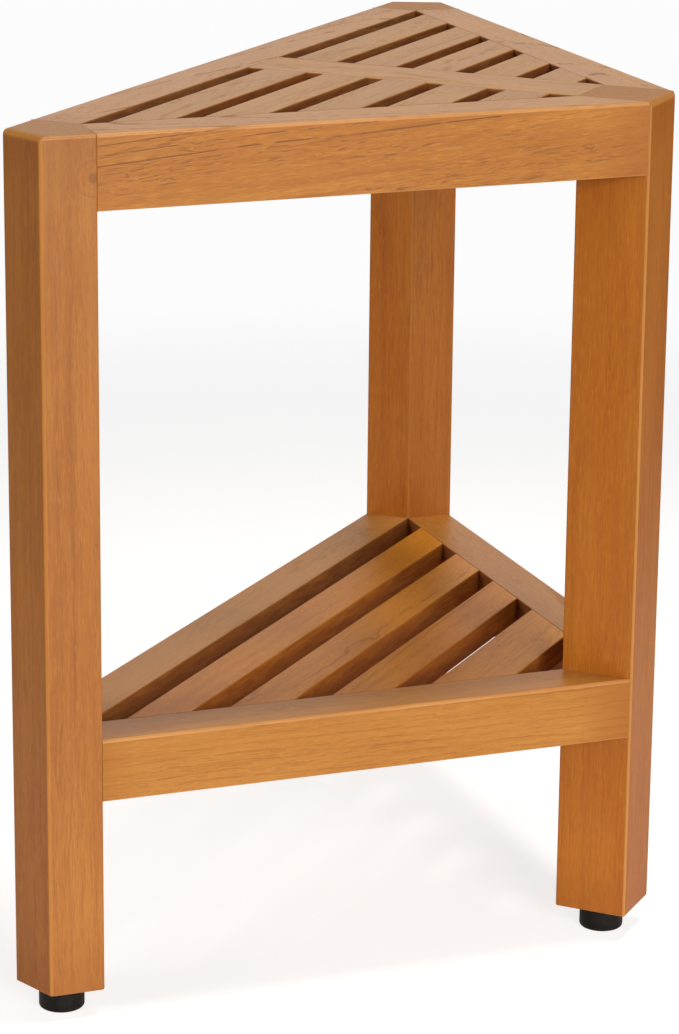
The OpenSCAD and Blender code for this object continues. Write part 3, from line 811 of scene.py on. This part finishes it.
def make_stud_tree():
    """A rod drawn out of rings, each ring pressed in where the thread's groove winds past it."""
    tree = bpy.data.node_groups.new("threaded stud", "GeometryNodeTree")
    for name, kind in (("Centre", "Vector"), ("Bottom", "Float"), ("Top", "Float"), ("Diameter", "Float"),
                       ("Pitch", "Float"), ("Depth", "Float"), ("Chamfer", "Float"), ("Rings", "Int"),
                       ("Sides", "Int"), ("Finish", "Material")):
        tree.interface.new_socket(name, in_out="INPUT", socket_type=f"NodeSocket{kind}")
    tree.interface.new_socket("Stud", in_out="OUTPUT", socket_type="NodeSocketGeometry")
    given = tree.nodes.new("NodeGroupInput").outputs

    # a plain rod of many rings
    core = node(tree, "GeometryNodeCurvePrimitiveLine", {"Start": made_of(tree, Z=given["Bottom"]),
                                                         "End": made_of(tree, Z=given["Top"])})
    ringed = node(tree, "GeometryNodeResampleCurve", {"Curve": core.outputs[0], "Count": given["Rings"]})
    radius = times(tree, given["Diameter"], 0.5)
    round_bar = node(tree, "GeometryNodeCurvePrimitiveCircle", {"Resolution": given["Sides"],
                                                                "Radius": radius})
    rod = node(tree, "GeometryNodeCurveToMesh", {
        "Curve": ringed.outputs[0], "Profile Curve": round_bar.outputs[0], "Fill Caps": True})

    # the groove's depth follows the turn round the rod, and both ends are chamfered
    place = parts_of(tree, node(tree, "GeometryNodeInputPosition").outputs[0])
    around = calc(tree, "DIVIDE", calc(tree, "ARCTAN2", place["Y"], place["X"]), 2 * pi)
    turns = calc(tree, "DIVIDE", place["Z"], given["Pitch"])
    wound = calc(tree, "FRACT", calc(tree, "SUBTRACT", turns, around))
    groove = times(tree, calc(tree, "ABSOLUTE", calc(tree, "SUBTRACT", wound, 0.5)), 2.0)
    from_end = calc(tree, "MINIMUM", calc(tree, "SUBTRACT", place["Z"], given["Bottom"]),
                    calc(tree, "SUBTRACT", given["Top"], place["Z"]))
    blunt = calc(tree, "MAXIMUM", calc(tree, "SUBTRACT", given["Chamfer"], from_end), 0.0)
    inwards = calc(tree, "MAXIMUM", times(tree, groove, given["Depth"]), blunt)
    share = calc(tree, "SUBTRACT", 1.0, calc(tree, "DIVIDE", inwards, radius))
    pressed = made_of(tree, X=times(tree, place["X"], share), Y=times(tree, place["Y"], share),
                      Z=place["Z"])
    threaded = node(tree, "GeometryNodeSetPosition", {"Geometry": rod.outputs[0], "Position": pressed})
    moved = node(tree, "GeometryNodeTransform", {"Geometry": threaded.outputs[0],
                                                 "Translation": given["Centre"]})
    finished(tree, moved.outputs[0], given["Finish"], "Stud")
    return tree


def outwards(piece):
    """Merges doubled points and points every face outwards."""
    shape = bmesh.new()
    shape.from_mesh(piece.data)
    bmesh.ops.remove_doubles(shape, verts=shape.verts, dist=weld_reach)
    bmesh.ops.recalc_face_normals(shape, faces=shape.faces)
    shape.to_mesh(piece.data)
    shape.free()


stud_tree = make_stud_tree()
feet = ("left", "right", "corner")
for side in feet:
    low_corner, high_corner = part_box(f"foot_stud_{side}")
    centre = (low_corner + high_corner) / 2
    turns = (high_corner.z - low_corner.z) / thread_pitch
    stud = from_tree(f"threaded_stud_{side}", stud_tree, {
        "Centre": (centre.x, centre.y, 0.0), "Bottom": low_corner.z, "Top": high_corner.z,
        "Diameter": stud_width, "Pitch": thread_pitch, "Depth": thread_depth, "Chamfer": thread_chamfer,
        "Rings": round(turns * rings_a_turn) + 1, "Sides": stud_sides, "Finish": zinc})
    made_plain(stud)
    outwards(stud)
    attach(stud, f"{side}_foot_stud")
    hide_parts(f"foot_stud_{side}")

# Foot pads: round feet of moulded black plastic, with a softly rounded lower edge and a blind seat for
# the stud's lower end. Each is turned by hand, which screws its foot in or out.
pad_edge = 0.0015
pad_top_edge = 0.0005
seat_bore = 0.00405
seat_depth = 0.009
bore_lead = 0.0004
pad_sides = 96
sharp_from = radians(32)


def make_plastic():
    """Black moulded plastic: a fine spark-eroded grain, slightly rubbed and dusty in places."""
    material = bpy.data.materials.new("moulded black plastic")
    tree = cleared(material)
    place = node(tree, "ShaderNodeTexCoord").outputs["Object"]
    rubbed = noise(tree, place, 160.0, 4.0)
    grit = noise(tree, place, 2600.0, 2.0)
    colour = tint(tree, spread(tree, rubbed, 0.35, 0.75), (0.006, 0.0045, 0.0035, 1),
                  (0.015, 0.011, 0.008, 1))
    bump = node(tree, "ShaderNodeBump", {"Height": grit, "Strength": 0.4, "Distance": 0.00006})
    surface = node(tree, "ShaderNodeBsdfPrincipled", {
        "Base Color": colour, "Roughness": spread(tree, rubbed, 0.3, 0.8, 0.46, 0.62),
        "Normal": bump.outputs[0], "IOR": 1.48, "Specular IOR Level": 0.22})
    node(tree, "ShaderNodeOutputMaterial", {"Surface": surface.outputs[0]})
    return material


def quarter(centre, radius, start, steps=5):
    """Points of a quarter round in the pad's half section, counter-clockwise from the angle given."""
    return [(centre[0] + radius * cos(radians(start + 90 * k / steps)),
             centre[1] + radius * sin(radians(start + 90 * k / steps))) for k in range(steps + 1)]


plastic = make_plastic()
for side in feet:
    low_corner, high_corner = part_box(f"foot_pad_{side}")
    centre = (low_corner + high_corner) / 2
    radius = (high_corner.x - low_corner.x) / 2
    top = high_corner.z
    section = [(0.0, 0.0)]
    section += quarter((radius - pad_edge, pad_edge), pad_edge, 270)
    section += quarter((radius - pad_top_edge, top - pad_top_edge), pad_top_edge, 0)
    section += [(seat_bore + bore_lead, top), (seat_bore, top - bore_lead), (seat_bore, top - seat_depth),
                (0.0, top - seat_depth)]
    shape = bmesh.new()
    corners = [shape.verts.new((centre.x + x, centre.y, z)) for x, z in section]
    outline = [shape.edges.new((corners[k], corners[k + 1])) for k in range(len(corners) - 1)]
    bmesh.ops.spin(shape, geom=corners + outline, cent=(centre.x, centre.y, 0), axis=(0, 0, 1),
                   angle=2 * pi, steps=pad_sides, use_duplicate=False, use_merge=True)
    mesh = bpy.data.meshes.new(f"moulded_pad_{side}")
    shape.to_mesh(mesh)
    shape.free()
    pad = shared(f"moulded_pad_{side}", mesh)
    outwards(pad)
    pad.data.shade_smooth()
    pad.data.set_sharp_from_angle(angle=sharp_from)
    pad.data.materials.append(plastic)
    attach(pad, f"{side}_foot_pad")
    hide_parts(f"foot_pad_{side}")

# Floor: a white paper sweep under the stool, which keeps its soft shadow, on a grey studio floor.
# Far from the stool it shows plain white.
floor_half = 9.0
sweep_side = Vector((sin(camera_heading), -cos(camera_heading), 0))
mesh = bpy.data.meshes.new("floor")
mesh.from_pydata([(-floor_half, -floor_half, 0), (floor_half, -floor_half, 0), (floor_half, floor_half, 0),
                  (-floor_half, floor_half, 0)], [], [(0, 1, 2, 3)])
floor = shared("floor", mesh)


def shows_white(tree, place, near, far):
    """How much of the white sweep a ray shows: all of it to the camera, and mirrored only as wide and as
    high as the sweep is."""
    ray = node(tree, "ShaderNodeLightPath").outputs
    sideways = calc(tree, "ABSOLUTE", vector(tree, "DOT_PRODUCT", place, sweep_side))
    height = parts_of(tree, place)["Z"]
    wide = times(tree, spread(tree, sideways, near, far, 1.0, 0.05),
                 spread(tree, height, 0.3, 0.65, 1.0, 0.1))
    mirrored_ray = plus(tree, ray["Is Glossy Ray"], ray["Is Transmission Ray"])
    return calc(tree, "MULTIPLY_ADD", mirrored_ray, wide, ray["Is Camera Ray"], clamp=True)


paper = bpy.data.materials.new("white paper sweep")
tree = cleared(paper)
place = node(tree, "ShaderNodeTexCoord").outputs["Object"]

# what the sweep shows changes with the distance from the stool's middle, in metres
distance = vector(tree, "LENGTH", place)
# near the stool the paper is tinted warm, as painted bounce light from the wood
near_paper_with_painted_bounce = tint(tree, noise(tree, place, 3.0, 3.0), (0.93, 0.85, 0.78, 1), (0.95, 0.87, 0.80, 1))
studio_grey = (0.18, 0.18, 0.18, 1)
matt = node(tree, "ShaderNodeBsdfDiffuse", {
    "Color": tint(tree, spread(tree, distance, 0.5, 1.2), near_paper_with_painted_bounce, studio_grey)})
bright = node(tree, "ShaderNodeEmission", {
    "Color": (1, 1, 1, 1), "Strength": spread(tree, distance, 0.45, 1.3, 1.30, 0.975)})
straight = node(tree, "ShaderNodeLightPath").outputs["Is Camera Ray"]
not_close = calc(tree, "MAXIMUM", straight, spread(tree, distance, 0.25, 0.9, 0.2, 1.0))
shown = times(tree, shows_white(tree, place, 0.15, 0.7), not_close)
share = times(tree, shown, spread(tree, distance, 0.45, 1.5, 0.60, 1.0))
sweep = node(tree, "ShaderNodeMixShader", {0: share, 1: matt.outputs[0], 2: bright.outputs[0]})
node(tree, "ShaderNodeOutputMaterial", {"Surface": sweep.outputs[0]})
floor.data.materials.append(paper)

# Studio light: a faint room light from all round, a small soft lamp almost straight above, a large soft
# key lamp to the right of the camera, a weaker fill lamp to its left, and a faint lamp behind the stool.
# The room shows plain white behind the floor.
room_level = 0.06
lamp_target = Vector((0, 0, 0.25))
room = bpy.data.worlds.new("studio room")
tree = cleared(room)
shown = shows_white(tree, node(tree, "ShaderNodeTexCoord").outputs["Generated"], 0.15, 0.55)
glow = node(tree, "ShaderNodeBackground", {
    "Color": (1, 1, 1, 1), "Strength": scaled(tree, shown, 1 - room_level, room_level)})
node(tree, "ShaderNodeOutputWorld", {"Surface": glow.outputs[0]})
scene.world = room
for name, place, size, power in (("overhead lamp", (-0.37, 0.80, 5.0), 0.8, 105.0),
                                 ("key lamp", (3.2, 3.58, 1.65), 2.4, 195.0),
                                 ("fill lamp", (3.7, -2.6, 2.4), 2.5, 82.0),
                                 ("back lamp", (-3.5, -1.6, 3.4), 2.0, 15.0)):
    lamp = bpy.data.objects.new(name, bpy.data.lights.new(name, "AREA"))
    lamp.data.shape = "SQUARE"
    lamp.data.size = size
    lamp.data.energy = power
    lamp.location = place
    lamp.rotation_euler = (lamp_target - Vector(place)).to_track_quat("-Z", "Y").to_euler()
    scene.collection.objects.link(lamp)
scene.view_settings.view_transform = "Standard"
